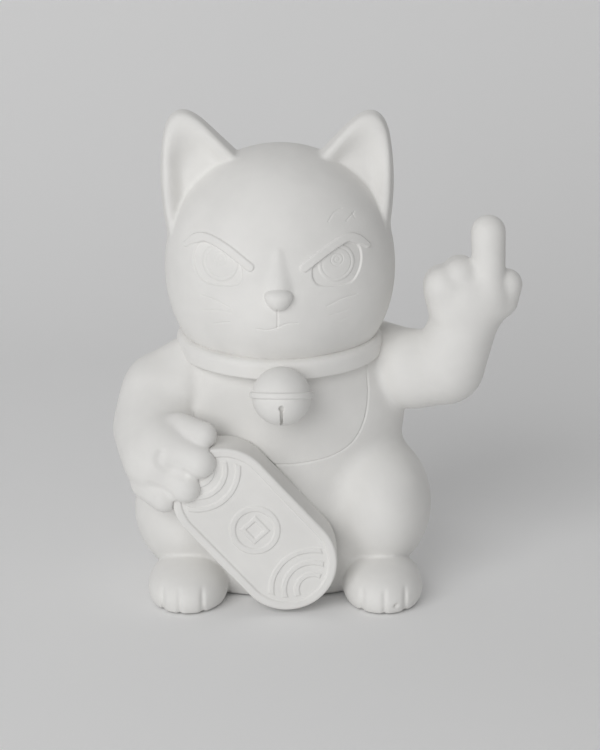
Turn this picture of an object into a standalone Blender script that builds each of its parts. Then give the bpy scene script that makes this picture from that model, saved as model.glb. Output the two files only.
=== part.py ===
"""Beckoning cat figurine: a hollow cast money box, 250 mm tall, with a plugged base.

The castings (body, head, two arms) are built from rounded masses that are skinned
together, then hollowed, parted and pinned. All lengths are metres, +Z is up and the
cat faces -Y. The figure's own axis stands over FIGURE_AXIS, so that the origin lies
under the middle of the whole figure.
"""
import math

import bmesh
import bpy
from mathutils import Euler, Matrix, Vector

# ---------------------------------------------------------------- driving dimensions
FIGURE_AXIS = (-0.0198, 0.0070, 0.0)   # head and body axis, seen from the origin
GAP = 0.0003                           # glue line or clearance between two pieces
FAR = 0.200                            # reach of a cutter that has to clear everything

SOLE_Z = 0.0006                        # underside of the castings, above the pads' soles

HEAD_CENTRE = Vector((0.0005, 0.0, 0.1735))
HEAD_RADII = Vector((0.0595, 0.0530, 0.0575))
HEAD_WALL = 0.0065

COLLAR_CENTRE = Vector((0.0003, 0.0, 0.1290))
COLLAR_HALF_WIDTH = 0.0533
COLLAR_HALF_DEPTH = 0.0505
COLLAR_TILT = math.radians(5.7)        # the collar hangs lower at the throat
COLLAR_HEIGHT = 0.0095
COLLAR_THICKNESS = 0.0075

NECK_HOLE_RADIUS = 0.0340
SPIGOT_RADIUS = NECK_HOLE_RADIUS - GAP
SPIGOT_BORE = 0.0290
SPIGOT_LENGTH = 0.0150

BELL_CENTRE = Vector((0.0016, -0.0580, 0.1138))
BELL_RADIUS = 0.0146
BELL_BAND_RADIUS = 0.0160
BELL_BAND_HEIGHT = 0.0030
BELL_SLOT_WIDTH = 0.0022
BELL_SLOT_DEPTH = 0.0100
BELL_SLOT_LEVELS = (-0.0126, -0.0044)  # the sound slot's two ends, from the bell's middle
BELL_PIN_PLACE = (0.0016, -0.0455, 0.1138)

PLAQUE_UPPER = Vector((-0.0276, 0.0, 0.0623))   # centres of the plaque's two round ends
PLAQUE_LOWER = Vector((0.0039, 0.0, 0.0280))
PLAQUE_RADIUS = 0.0255
PLAQUE_FRONT = -0.0620
PLAQUE_BACK = -0.0380
PLAQUE_RIM = 0.0036
PLAQUE_RECESS = 0.0012
PLAQUE_EDGE = 0.0012                   # width of the plaque's rounded edge

CHAMBER_CENTRE = Vector((0.0, 0.0060, 0.0640))
CHAMBER_RADII = Vector((0.0500, 0.0350, 0.0570))
COIN_SLOT_WIDTH = 0.0380
COIN_SLOT_HEIGHT = 0.0050
COIN_SLOT_Z = 0.0980
COIN_SLOT_Y = (0.0100, 0.0700)         # the slot's reach through the back

PLATE_RADIUS = 0.0340
PLATE_THICKNESS = 0.0040
PLATE_LEDGE = 0.0040
STOPPER_RADIUS = 0.0160
STOPPER_LENGTH = 0.0090
FLANGE_RADIUS = 0.0190
FLANGE_THICKNESS = 0.0016
FLANGE_EDGE = 0.0006
CUP_WALL = 0.0025
CUP_FLOOR = 0.0030
CUP_LIP = 0.0010                       # lead-in round the top of the stopper's cup

PAD_RADIUS = 0.0050
PAD_THICKNESS = 0.0014
PAD_PLACES = ((0.053, -0.044), (-0.047, -0.044), (0.036, 0.034), (-0.036, 0.034))

PIN_RADIUS = 0.0015
PIN_LENGTH = 0.0140

EAR_TILT = math.radians(-1.1)          # the head leans a little to the cat's right

# ------------------------------------------------------------------ masses, figure axes
TORSO_BALLS = (
    # centre, radii
    ((0.000, 0.005, 0.050), (0.062, 0.045, 0.062)),      # belly and rump
    ((0.000, 0.003, 0.088), (0.058, 0.043, 0.050)),      # chest
    ((0.000, 0.001, 0.116), (0.050, 0.044, 0.032)),      # shoulders and neck
    ((0.000, 0.005, 0.018), (0.066, 0.049, 0.034)),      # seat
    ((0.052, -0.006, 0.040), (0.029, 0.036, 0.037)),     # left thigh
    ((-0.048, -0.006, 0.043), (0.029, 0.036, 0.037)),    # right thigh
)
TAIL_LIMBS = (
    # start, end, start radius, end radius
    ((0.000, 0.048, 0.016), (0.022, 0.050, 0.015), 0.009, 0.010),
    ((0.022, 0.050, 0.015), (0.042, 0.040, 0.017), 0.010, 0.009),
)
FOOT_CENTRES = (0.0530, -0.0470)
FOOT_BALL = ((0.0, -0.0380, 0.0095), (0.0205, 0.0250, 0.0125))
TOE_OFFSETS = (-0.0140, -0.0050, 0.0050, 0.0140)
TOE_Y = -0.0545
TOE_Z = 0.0080
TOE_RADII = (0.0066, 0.0095, 0.0082)

RAISED_ARM_LIMBS = (
    ((0.040, 0.000, 0.112), (0.070, -0.006, 0.114), 0.021, 0.0215),    # shoulder
    ((0.070, -0.006, 0.114), (0.086, -0.012, 0.117), 0.0215, 0.0195),  # upper arm
    ((0.086, -0.012, 0.117), (0.095, -0.016, 0.142), 0.0185, 0.0170),  # forearm
    ((0.104, -0.018, 0.160), (0.105, -0.018, 0.189), 0.0092, 0.0085),  # middle finger
    ((0.083, -0.026, 0.166), (0.083, -0.014, 0.166), 0.0090, 0.0090),  # curled fingers
    ((0.091, -0.027, 0.168), (0.091, -0.014, 0.168), 0.0090, 0.0090),
    ((0.114, -0.025, 0.161), (0.114, -0.014, 0.161), 0.0088, 0.0088),
)
RAISED_ARM_BALLS = (
    ((0.098, -0.018, 0.155), (0.0230, 0.0170, 0.0190)),                # palm
)
ARM_PARTING_POINT = Vector((0.0610, 0.0, 0.1080))
ARM_PARTING_TILT = math.radians(16.0)
ARM_PIN_PLACES = ((0.0610, 0.006, 0.1160), (0.0640, -0.010, 0.1020))

HOLDING_ARM_LIMBS = (
    ((-0.050, -0.002, 0.110), (-0.062, -0.012, 0.090), 0.0200, 0.0212),   # upper arm
    ((-0.064, -0.014, 0.088), (-0.060, -0.038, 0.076), 0.0208, 0.0195),   # forearm
    ((-0.052, -0.044, 0.092), (-0.039, -0.050, 0.096), 0.0090, 0.0078),   # thumb
    ((-0.054, -0.054, 0.083), (-0.040, -0.063, 0.0835), 0.0095, 0.0088),  # fingers
    ((-0.058, -0.054, 0.072), (-0.048, -0.063, 0.0705), 0.0095, 0.0088),
    ((-0.064, -0.050, 0.064), (-0.059, -0.058, 0.0615), 0.0090, 0.0082),
)
HOLDING_ARM_BALLS = (
    ((-0.057, -0.045, 0.075), (0.0190, 0.0170, 0.0190)),                  # paw
)
HOLDING_PIN_PLACES = ((-0.0560, -0.004, 0.1080), (-0.0580, -0.004, 0.0900))

EAR_CORNERS = (
    # tip, outer root and inner root of the ear on the +X side; radius of each corner
    ((0.0475, -0.0010, 0.2432), 0.0056),
    ((0.0495, -0.0030, 0.1960), 0.0095),
    ((0.0250, -0.0030, 0.2165), 0.0090),
)
EAR_DISH = (
    ((0.0465, -0.0130, 0.2330), 0.0060),
    ((0.0515, -0.0160, 0.2080), 0.0060),
    ((0.0360, -0.0160, 0.2210), 0.0060),
)
HEAD_BALLS = (
    ((0.025, -0.008, 0.158), (0.0350, 0.0385, 0.0330)),    # cheeks
    ((-0.025, -0.008, 0.158), (0.0350, 0.0385, 0.0330)),
    ((0.000, -0.042, 0.150), (0.0180, 0.0110, 0.0140)),    # muzzle
    ((0.000, -0.0545, 0.1625), (0.0080, 0.0040, 0.0055)),  # nose
)

SKIN_VOXEL = 0.0016
BODY_FINISH = (10, 0.028)              # smoothing passes, share of the faces kept
HEAD_FINISH = (5, 0.034)
RAISED_ARM_FINISH = (3, 0.065)
HOLDING_ARM_FINISH = (3, 0.060)
ROOT = "figure_axis"


# -------------------------------------------------------------------------- materials
def finish(name, colour, roughness):
    """A plain Principled material."""
    material = bpy.data.materials.get(name)
    if material is None:
        material = bpy.data.materials.new(name)
        material.use_nodes = True
        shader = material.node_tree.nodes["Principled BSDF"]
        shader.inputs["Base Color"].default_value = (*colour, 1.0)
        shader.inputs["Roughness"].default_value = roughness
    return material


def cast_white():
    return finish("cast_white", (0.78, 0.77, 0.75), 0.62)


def grey_rubber():
    return finish("grey_rubber", (0.30, 0.30, 0.30), 0.80)


def pin_steel():
    material = finish("pin_steel", (0.62, 0.63, 0.64), 0.35)
    material.node_tree.nodes["Principled BSDF"].inputs["Metallic"].default_value = 1.0
    return material


# ------------------------------------------------------------------------ basic shapes
def add_ball(bm, centre, radii, segments=32, rings=20):
    """An ellipsoid added to a mesh in the making."""
    size = Matrix.Diagonal((*radii, 1.0))
    place = Matrix.Translation(centre) @ size
    return bmesh.ops.create_uvsphere(
        bm, u_segments=segments, v_segments=rings, radius=1.0, matrix=place)["verts"]


def add_hull(bm, corners):
    """The convex skin over several balls: a limb over two, an ear over three."""
    shell = bmesh.new()
    for centre, radius in corners:
        add_ball(shell, centre, (radius, radius, radius), 24, 16)
    bmesh.ops.delete(shell, geom=shell.edges, context="EDGES_FACES")
    bmesh.ops.convex_hull(shell, input=shell.verts)
    loose = [vert for vert in shell.verts if not vert.link_faces]
    bmesh.ops.delete(shell, geom=loose, context="VERTS")
    piece = bpy.data.meshes.new("hull")
    shell.to_mesh(piece)
    shell.free()
    bm.from_mesh(piece)
    bpy.data.meshes.remove(piece)


def new_object(name, bm, material=None):
    """Turns a finished bmesh into an object that stands on the figure's axis."""
    bmesh.ops.recalc_face_normals(bm, faces=bm.faces)
    mesh = bpy.data.meshes.new(name)
    bm.to_mesh(mesh)
    bm.free()
    piece = bpy.data.objects.new(name, mesh)
    bpy.context.scene.collection.objects.link(piece)
    piece.parent = bpy.data.objects[ROOT]
    if material:
        mesh.materials.append(material)
        mesh.shade_smooth()
        mesh.set_sharp_from_angle(angle=math.radians(40.0))
    return piece


def as_cutter(piece):
    """Marks an object as a cutting shape that is not drawn."""
    piece.hide_render = True
    piece.display_type = "WIRE"
    return piece


def cut(piece, cutter, operation="DIFFERENCE"):
    modifier = piece.modifiers.new(cutter.name, "BOOLEAN")
    modifier.operation = operation
    modifier.solver = "EXACT"
    modifier.object = cutter
    return piece


def box_cutter(name, low, high, turn=None, pivot=None):
    """A block from low to high, turned about a pivot when one is given."""
    bm = bmesh.new()
    bmesh.ops.create_cube(bm, size=1.0)
    low, high = Vector(low), Vector(high)
    bmesh.ops.transform(bm, verts=bm.verts, matrix=Matrix.Diagonal((*(high - low), 1.0)))
    bmesh.ops.translate(bm, verts=bm.verts, vec=(low + high) / 2)
    if turn:
        bmesh.ops.rotate(bm, verts=bm.verts, cent=pivot, matrix=Euler(turn).to_matrix())
    return as_cutter(new_object(name, bm))


def add_cylinder(bm, radius, low, high, axis="Z", segments=32):
    """A round bar between two levels along an axis through the mesh's origin."""
    place = Matrix.Translation((0.0, 0.0, (low + high) / 2))
    if axis == "X":
        place = Matrix.Rotation(math.radians(90.0), 4, "Y") @ place
    if axis == "Y":
        place = Matrix.Rotation(math.radians(-90.0), 4, "X") @ place
    return bmesh.ops.create_cone(
        bm, cap_ends=True, segments=segments, radius1=radius, radius2=radius,
        depth=high - low, matrix=place)["verts"]


def cylinder(name, centre, radius, low, high, axis="Z", material=None, segments=32):
    bm = bmesh.new()
    add_cylinder(bm, radius, low, high, axis, segments)
    bmesh.ops.translate(bm, verts=bm.verts, vec=centre)
    return new_object(name, bm, material)


def collar_plane(level):
    """The matrix that takes a flat shape at z = 0 onto the tilted collar plane."""
    tilt = Matrix.Rotation(COLLAR_TILT, 4, "X")
    return Matrix.Translation(COLLAR_CENTRE) @ tilt @ Matrix.Translation((0, 0, level))


# ---------------------------------------------------------------------------- castings
def casting(name, balls, limbs, skin_finish, hulls=()):
    """Masses skinned into one rounded body, smoothed and thinned to a share of faces."""
    smoothing, share = skin_finish
    bm = bmesh.new()
    for centre, radii in balls:
        add_ball(bm, centre, radii)
    for start, end, start_radius, end_radius in limbs:
        add_hull(bm, ((start, start_radius), (end, end_radius)))
    for corners in hulls:
        add_hull(bm, corners)
    piece = new_object(name, bm, cast_white())
    skin = piece.modifiers.new("skin", "REMESH")
    skin.mode = "VOXEL"
    skin.voxel_size = SKIN_VOXEL
    skin.use_smooth_shade = True
    soften = piece.modifiers.new("soften", "SMOOTH")
    soften.factor = 0.5
    soften.iterations = smoothing
    thin = piece.modifiers.new("thin", "DECIMATE")
    thin.ratio = share
    return piece


def grown_copy(piece, name, margin=GAP):
    """A cutter with the piece's shape, fatter by a margin all round."""
    copy = piece.copy()
    copy.name = name
    bpy.context.scene.collection.objects.link(copy)
    swell = copy.modifiers.new("swell", "DISPLACE")
    swell.strength = margin
    swell.mid_level = 0.0
    return as_cutter(copy)


def feet():
    balls = []
    for middle in FOOT_CENTRES:
        centre, radii = FOOT_BALL
        balls.append(((middle, centre[1], centre[2]), radii))
        for offset in TOE_OFFSETS:
            balls.append(((middle + offset, TOE_Y, TOE_Z), TOE_RADII))
    return tuple(balls)


def make_body():
    limbs = TAIL_LIMBS + RAISED_ARM_LIMBS[:2]
    body = casting("body_shell", TORSO_BALLS + feet(), limbs, BODY_FINISH)
    cut(body, box_cutter("below_sole", (-FAR, -FAR, -FAR), (FAR, FAR, SOLE_Z)))
    cut(body, above_collar("above_neck", COLLAR_HEIGHT / 2))
    cut(body, collar_seat())
    cut(body, arm_side("arm_side", 0.0))
    return body


def hollow_body(body):
    """The coin chamber, the neck hole, the coin slot and the hole for the base plate."""
    bm = bmesh.new()
    add_ball(bm, CHAMBER_CENTRE, CHAMBER_RADII, 20, 12)
    cut(body, as_cutter(new_object("coin_chamber", bm)))
    bm = bmesh.new()
    add_cylinder(bm, NECK_HOLE_RADIUS, -0.030, 0.020)
    bmesh.ops.transform(bm, verts=bm.verts, matrix=collar_plane(0.0))
    cut(body, as_cutter(new_object("neck_hole", bm)))
    inner, outer = COIN_SLOT_Y
    low = (-COIN_SLOT_WIDTH / 2, inner, COIN_SLOT_Z - COIN_SLOT_HEIGHT / 2)
    high = (COIN_SLOT_WIDTH / 2, outer, COIN_SLOT_Z + COIN_SLOT_HEIGHT / 2)
    cut(body, box_cutter("coin_slot", low, high))
    ledge = SOLE_Z + PLATE_THICKNESS + GAP
    cut(body, as_cutter(cylinder("plate_seat", (0, 0, 0), PLATE_RADIUS, -0.010, ledge)))
    cut(body, as_cutter(cylinder("plate_hole", (0, 0, 0), PLATE_RADIUS - PLATE_LEDGE,
                                 -0.011, 0.020)))


def above_collar(name, level):
    """Everything above a level over the collar's middle plane."""
    bm = bmesh.new()
    bmesh.ops.create_cube(bm, size=2 * FAR)
    bmesh.ops.translate(bm, verts=bm.verts, vec=(0, 0, FAR))
    bmesh.ops.transform(bm, verts=bm.verts, matrix=collar_plane(level))
    return as_cutter(new_object(name, bm))


def below_collar(name, level):
    """Everything below a level over the collar's middle plane."""
    bm = bmesh.new()
    bmesh.ops.create_cube(bm, size=2 * FAR)
    bmesh.ops.translate(bm, verts=bm.verts, vec=(0, 0, -FAR))
    bmesh.ops.transform(bm, verts=bm.verts, matrix=collar_plane(level))
    return as_cutter(new_object(name, bm))


def arm_side(name, clearance):
    """The space beyond the parting plane of the raised arm."""
    low = ARM_PARTING_POINT + Vector((clearance, -FAR, -0.026))
    high = ARM_PARTING_POINT + Vector((FAR, FAR, FAR))
    return box_cutter(name, low, high, (0.0, -ARM_PARTING_TILT, 0.0), ARM_PARTING_POINT)


def make_head():
    ears = []
    dishes = []
    for side in (1.0, -1.0):
        ears.append([(tilted(corner, side), radius) for corner, radius in EAR_CORNERS])
        dishes.append([(tilted(corner, side), radius) for corner, radius in EAR_DISH])
    skull = ((tuple(HEAD_CENTRE), tuple(HEAD_RADII)),)
    head = casting("head_shell", skull + HEAD_BALLS, (), HEAD_FINISH, ears)
    for side, corners in zip(("left", "right"), dishes):
        bm = bmesh.new()
        add_hull(bm, corners)
        cut(head, as_cutter(new_object("ear_dish_" + side, bm)))
    cut(head, below_collar("below_head", COLLAR_HEIGHT / 2 + GAP))
    bm = bmesh.new()
    add_cylinder(bm, SPIGOT_RADIUS, COLLAR_HEIGHT / 2 + GAP - SPIGOT_LENGTH, 0.020)
    bmesh.ops.transform(bm, verts=bm.verts, matrix=collar_plane(0.0))
    cut(head, as_cutter(new_object("spigot", bm)), "UNION")
    bm = bmesh.new()
    add_ball(bm, HEAD_CENTRE, HEAD_RADII - Vector((HEAD_WALL,) * 3), 20, 12)
    cut(head, as_cutter(new_object("head_cavity", bm)))
    bm = bmesh.new()
    add_cylinder(bm, SPIGOT_BORE, -0.030, 0.030)
    bmesh.ops.transform(bm, verts=bm.verts, matrix=collar_plane(0.0))
    cut(head, as_cutter(new_object("spigot_bore", bm)))
    return head


def tilted(point, side):
    """A point on the +X ear, put on either side and leaned over with the head."""
    place = Vector((point[0] * side, point[1], point[2])) - HEAD_CENTRE
    return tuple(HEAD_CENTRE + Matrix.Rotation(EAR_TILT, 3, "Y") @ place)


# ------------------------------------------------------------------------ collar, bell
def ring(bm, height, thickness, growth=0.0, steps=40):
    """A rounded band swept round the neck's ellipse on the collar plane."""
    corner = min(height, thickness) * 0.30
    outline = []
    for quarter, (sx, sz) in enumerate(((1, 1), (-1, 1), (-1, -1), (1, -1))):
        for step in range(3):
            angle = math.radians(90.0 * quarter + 45.0 * step)
            outline.append((sx * (thickness / 2 - corner) + (corner + growth) * math.cos(angle),
                            sz * (height / 2 - corner) + (corner + growth) * math.sin(angle)))
    rows = []
    for index in range(steps):
        turn = 2 * math.pi * index / steps
        row = []
        for out, up in outline:
            wide = COLLAR_HALF_WIDTH - thickness / 2 + out
            deep = COLLAR_HALF_DEPTH - thickness / 2 + out
            row.append(bm.verts.new((wide * math.cos(turn), deep * math.sin(turn), up)))
        rows.append(row)
    count = len(outline)
    for index in range(steps):
        this, following = rows[index], rows[(index + 1) % steps]
        for point in range(count):
            after = (point + 1) % count
            bm.faces.new((this[point], following[point], following[after], this[after]))
    bmesh.ops.transform(bm, verts=bm.verts, matrix=collar_plane(0.0))


def make_collar():
    bm = bmesh.new()
    ring(bm, COLLAR_HEIGHT, COLLAR_THICKNESS)
    return new_object("collar_band", bm, cast_white())


def collar_seat(name="collar_seat"):
    """Room round the neck for the collar, open upwards."""
    bm = bmesh.new()
    ring(bm, COLLAR_HEIGHT, COLLAR_THICKNESS, GAP)
    return as_cutter(new_object(name, bm))


def make_bell(collar, body):
    bm = bmesh.new()
    add_ball(bm, (0, 0, 0), (BELL_RADIUS,) * 3, 28, 14)
    bell = new_object("bell", bm, cast_white())
    bell.location = BELL_CENTRE
    bm = bmesh.new()
    add_cylinder(bm, BELL_BAND_RADIUS, -BELL_BAND_HEIGHT / 2, BELL_BAND_HEIGHT / 2)
    band = as_cutter(new_object("bell_band", bm))
    band.location = BELL_CENTRE
    cut(bell, band, "UNION")
    bottom, top = BELL_SLOT_LEVELS
    low = BELL_CENTRE + Vector((-BELL_SLOT_WIDTH / 2, -2 * BELL_RADIUS, bottom))
    high = BELL_CENTRE + Vector((BELL_SLOT_WIDTH / 2, BELL_SLOT_DEPTH - BELL_RADIUS, top))
    cut(bell, box_cutter("bell_slot", low, high))
    cut(bell, grown_copy(collar, "collar_near_bell"))
    cut(bell, grown_copy(body, "body_near_bell"))
    return bell


# ------------------------------------------------------------------------------ plaque
def stadium(bm, radius, front, back, steps=20):
    """A bar with round ends round the plaque's two centres."""
    along = (PLAQUE_LOWER - PLAQUE_UPPER).normalized()
    across = Vector((-along.z, 0.0, along.x))
    outline = []
    for centre, sign in ((PLAQUE_UPPER, -1.0), (PLAQUE_LOWER, 1.0)):
        for step in range(steps + 1):
            angle = math.pi * step / steps
            outline.append(centre + radius * sign * (
                across * math.cos(angle) + along * math.sin(angle)))
    near = [bm.verts.new((point.x, front, point.z)) for point in outline]
    far = [bm.verts.new((point.x, back, point.z)) for point in outline]
    bm.faces.new(near)
    bm.faces.new(list(reversed(far)))
    for index in range(len(outline)):
        after = (index + 1) % len(outline)
        bm.faces.new((near[index], far[index], far[after], near[after]))


def make_plaque():
    """A tablet with round ends: a sunken field inside a raised rim."""
    bm = bmesh.new()
    stadium(bm, PLAQUE_RADIUS, PLAQUE_FRONT, PLAQUE_BACK)
    plaque = new_object("plaque", bm, cast_white())
    edge = plaque.modifiers.new("edge", "BEVEL")
    edge.width = PLAQUE_EDGE
    edge.segments = 2
    edge.limit_method = "ANGLE"
    bm = bmesh.new()
    stadium(bm, PLAQUE_RADIUS - PLAQUE_RIM, PLAQUE_FRONT - 0.002, PLAQUE_FRONT + PLAQUE_RECESS)
    cut(plaque, as_cutter(new_object("plaque_field", bm)))
    return plaque


def plaque_room(name):
    bm = bmesh.new()
    stadium(bm, PLAQUE_RADIUS + GAP, PLAQUE_FRONT - GAP, PLAQUE_BACK + GAP)
    return as_cutter(new_object(name, bm))


# -------------------------------------------------------------------------------- arms
def make_raised_arm():
    arm = casting("raised_arm", RAISED_ARM_BALLS, RAISED_ARM_LIMBS, RAISED_ARM_FINISH)
    cut(arm, arm_side("arm_keep", GAP), "INTERSECT")
    cut(arm, collar_seat("collar_near_arm"))
    return arm


def make_holding_arm(body):
    arm = casting("holding_arm", HOLDING_ARM_BALLS, HOLDING_ARM_LIMBS, HOLDING_ARM_FINISH)
    cut(arm, grown_copy(body, "body_near_arm"))
    cut(arm, plaque_room("plaque_near_paw"))
    cut(arm, collar_seat("collar_near_holding_arm"))
    return arm


# ------------------------------------------------------------------- base, pads, pins
def make_base_plate():
    top = SOLE_Z + PLATE_THICKNESS
    plate = cylinder("base_plate", (0, 0, 0), PLATE_RADIUS - GAP, SOLE_Z, top, "Z",
                     cast_white(), 48)
    cut(plate, as_cutter(cylinder("stopper_hole", (0, 0, 0), STOPPER_RADIUS, -0.01, 0.02,
                                  "Z", None, 40)))
    cut(plate, as_cutter(cylinder("flange_seat", (0, 0, 0), FLANGE_RADIUS + GAP, -0.01,
                                  SOLE_Z + FLANGE_THICKNESS + 2 * GAP, "Z", None, 40)))
    return plate


def make_stopper():
    """A soft bung: a flat flange below and a cup that grips the hole above it."""
    bm = bmesh.new()
    base = SOLE_Z + GAP
    plug = STOPPER_RADIUS - GAP
    cup = plug - CUP_WALL
    top = base + STOPPER_LENGTH
    profile = ((0.0, base), (FLANGE_RADIUS - FLANGE_EDGE, base),
               (FLANGE_RADIUS, base + FLANGE_EDGE), (FLANGE_RADIUS, base + FLANGE_THICKNESS),
               (plug, base + FLANGE_THICKNESS), (plug, top - CUP_LIP), (plug - CUP_LIP, top),
               (cup, top), (cup, base + CUP_FLOOR), (0.0, base + CUP_FLOOR))
    points = [bm.verts.new((out, 0.0, up)) for out, up in profile]
    edges = [bm.edges.new(pair) for pair in zip(points, points[1:])]
    bmesh.ops.spin(bm, geom=points + edges, cent=(0, 0, 0), axis=(0, 0, 1),
                   angle=2 * math.pi, steps=32, use_duplicate=False)
    bmesh.ops.remove_doubles(bm, verts=bm.verts, dist=0.00001)
    return new_object("base_stopper", bm, grey_rubber())


def make_pads(body):
    for index, (x, y) in enumerate(PAD_PLACES):
        name = "foot_pad_%d" % (index + 1)
        cylinder(name, (x, y, 0), PAD_RADIUS, 0.0, PAD_THICKNESS, "Z", grey_rubber(), 24)
        cut(body, as_cutter(cylinder(name + "_seat", (x, y, 0), PAD_RADIUS + GAP, -0.01,
                                     PAD_THICKNESS + GAP, "Z", None, 24)))


def make_pin(name, place, axis, holders):
    """A dowel across a glue line, with a hole for it in each piece that it joins."""
    half = PIN_LENGTH / 2
    cylinder(name, place, PIN_RADIUS, -half, half, axis, pin_steel(), 16)
    hole = as_cutter(cylinder(name + "_hole", place, PIN_RADIUS + GAP, -half - GAP,
                              half + GAP, axis, None, 16))
    for piece in holders:
        cut(piece, hole)


def make_pins(body, bell, plaque, raised_arm, holding_arm):
    for word, place in zip(("upper", "lower"), ARM_PIN_PLACES):
        make_pin("raised_arm_pin_" + word, place, "X", (body, raised_arm))
    for word, place in zip(("upper", "lower"), HOLDING_PIN_PLACES):
        make_pin("holding_arm_pin_" + word, place, "X", (body, holding_arm))
    for word, centre in (("upper", PLAQUE_UPPER), ("lower", PLAQUE_LOWER)):
        place = (centre.x, PLAQUE_BACK, centre.z)
        make_pin("plaque_pin_" + word, place, "Y", (body, plaque))
    make_pin("bell_pin", BELL_PIN_PLACE, "Y", (body, bell))


def clear_scene():
    for piece in list(bpy.data.objects):
        bpy.data.objects.remove(piece, do_unlink=True)


def main():
    clear_scene()
    axis = bpy.data.objects.new(ROOT, None)
    axis.location = FIGURE_AXIS
    bpy.context.scene.collection.objects.link(axis)
    body = make_body()
    collar = make_collar()
    bell = make_bell(collar, body)
    plaque = make_plaque()
    holding_arm = make_holding_arm(body)
    cut(body, plaque_room("plaque_seat"))
    hollow_body(body)
    make_head()
    raised_arm = make_raised_arm()
    make_base_plate()
    make_stopper()
    make_pads(body)
    make_pins(body, bell, plaque, raised_arm, holding_arm)


main()
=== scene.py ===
import math

import bpy
import numpy as np
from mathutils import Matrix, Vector


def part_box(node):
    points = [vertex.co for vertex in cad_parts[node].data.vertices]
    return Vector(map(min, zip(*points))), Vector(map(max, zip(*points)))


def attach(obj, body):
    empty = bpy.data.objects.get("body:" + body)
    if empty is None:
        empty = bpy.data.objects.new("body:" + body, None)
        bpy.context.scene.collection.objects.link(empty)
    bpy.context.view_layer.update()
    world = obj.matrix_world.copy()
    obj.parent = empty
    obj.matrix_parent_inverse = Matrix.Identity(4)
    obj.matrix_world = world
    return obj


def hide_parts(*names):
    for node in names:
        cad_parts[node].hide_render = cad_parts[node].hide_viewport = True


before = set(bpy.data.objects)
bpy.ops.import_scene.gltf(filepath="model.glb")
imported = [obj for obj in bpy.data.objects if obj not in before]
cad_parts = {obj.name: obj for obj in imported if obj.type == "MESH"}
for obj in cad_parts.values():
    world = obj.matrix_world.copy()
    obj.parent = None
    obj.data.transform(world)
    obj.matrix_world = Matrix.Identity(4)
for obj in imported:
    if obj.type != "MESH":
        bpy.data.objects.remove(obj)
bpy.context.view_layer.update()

# The fine surfaces are level sets: each casting is a field of rounded masses, meshed,
# refined where there is fine relief, and settled onto the field. All lengths are in
# millimetres from the figure's own axis, with the cat facing -Y and its raised paw on
# +X, until to_world() puts the points into the frame, in metres.
PLATE_LOW, PLATE_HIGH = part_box("base_plate")
AXIS = np.array([(PLATE_LOW[0] + PLATE_HIGH[0]) / 2, (PLATE_LOW[1] + PLATE_HIGH[1]) / 2, 0.0])
MM = 0.001


def to_world(points):
    return np.asarray(points, float) * MM + AXIS


# ------------------------------------------------------------------------ field shapes
def length(v):
    return np.sqrt((v * v).sum(-1))


def ball(p, centre, radii):
    """Roughly the distance to an ellipsoid."""
    q = p - np.array(centre, np.float32)
    r = np.array(radii, np.float32)
    outer = length(q / r)
    return outer * (outer - 1) / np.maximum(length(q / (r * r)), 1e-6)


def limb(p, start, end, start_radius, end_radius):
    """The distance to the convex skin over two balls."""
    a, b = np.array(start, np.float32), np.array(end, np.float32)
    along = b - a
    span = float(along @ along)
    slope = start_radius - end_radius
    clear = span - slope * slope
    pa = p - a
    y = pa @ along
    z = y - span
    side = pa * span - y[..., None] * along
    x2 = (side * side).sum(-1)
    y2, z2 = y * y * span, z * z * span
    k = np.sign(slope) * slope * slope * x2
    d = (np.sqrt(x2 * clear / span) + y * slope) / span - start_radius
    d = np.where(np.sign(y) * clear * y2 < k, np.sqrt(x2 + y2) / span - start_radius, d)
    return np.where(np.sign(z) * clear * z2 > k, np.sqrt(x2 + z2) / span - end_radius, d)


def join(a, b, k=0.0):
    """Union with a fillet about k wide."""
    if k <= 0:
        return np.minimum(a, b)
    h = np.maximum(k - np.abs(a - b), 0) / k
    return np.minimum(a, b) - h * h * k / 4


def meet(a, b, k=0.0):
    return -join(-a, -b, k)


def carve(a, b, k=0.0):
    return -join(-a, b, k)


def masses(p, parts):
    """Rounded masses joined one after another, each row ending with its fillet."""
    total = None
    for shape, *sizes, fillet in parts:
        part = shape(p, *sizes)
        total = part if total is None else join(total, part, fillet)
    return total


def ramp(x, low, high):
    """A smooth step from 0 to 1."""
    t = np.clip((x - low) / (high - low), 0, 1)
    return t * t * (3 - 2 * t)


def path_distance(x, z, points):
    """Distance in the front plane to a chain of short straight runs, and the run's share."""
    best = np.full(x.shape, 1e9, np.float32)
    share = np.zeros(x.shape, np.float32)
    count = len(points) - 1
    for index in range(count):
        ax, az = points[index]
        bx, bz = points[index + 1]
        dx, dz = bx - ax, bz - az
        t = np.clip(((x - ax) * dx + (z - az) * dz) / (dx * dx + dz * dz + 1e-9), 0, 1)
        d = np.hypot(x - ax - t * dx, z - az - t * dz)
        share = np.where(d < best, (index + t) / count, share)
        best = np.minimum(best, d)
    return best, share


def smooth_path(points, steps=8, closed=False):
    """A Catmull-Rom curve through a few points."""
    points = [np.array(point, float) for point in points]
    if closed:
        padded = [points[-1]] + points + points[:2]
    else:
        padded = [2 * points[0] - points[1]] + points + [2 * points[-1] - points[-2]]
    out = []
    for a, b, c, d in zip(padded, padded[1:], padded[2:], padded[3:]):
        for step in range(steps):
            t = step / steps
            out.append(0.5 * (2 * b + (c - a) * t + (2 * a - 5 * b + 4 * c - d) * t * t
                              + (3 * b - a - 3 * c + d) * t * t * t))
    out.append(padded[-2])
    return [tuple(point) for point in out]


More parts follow.
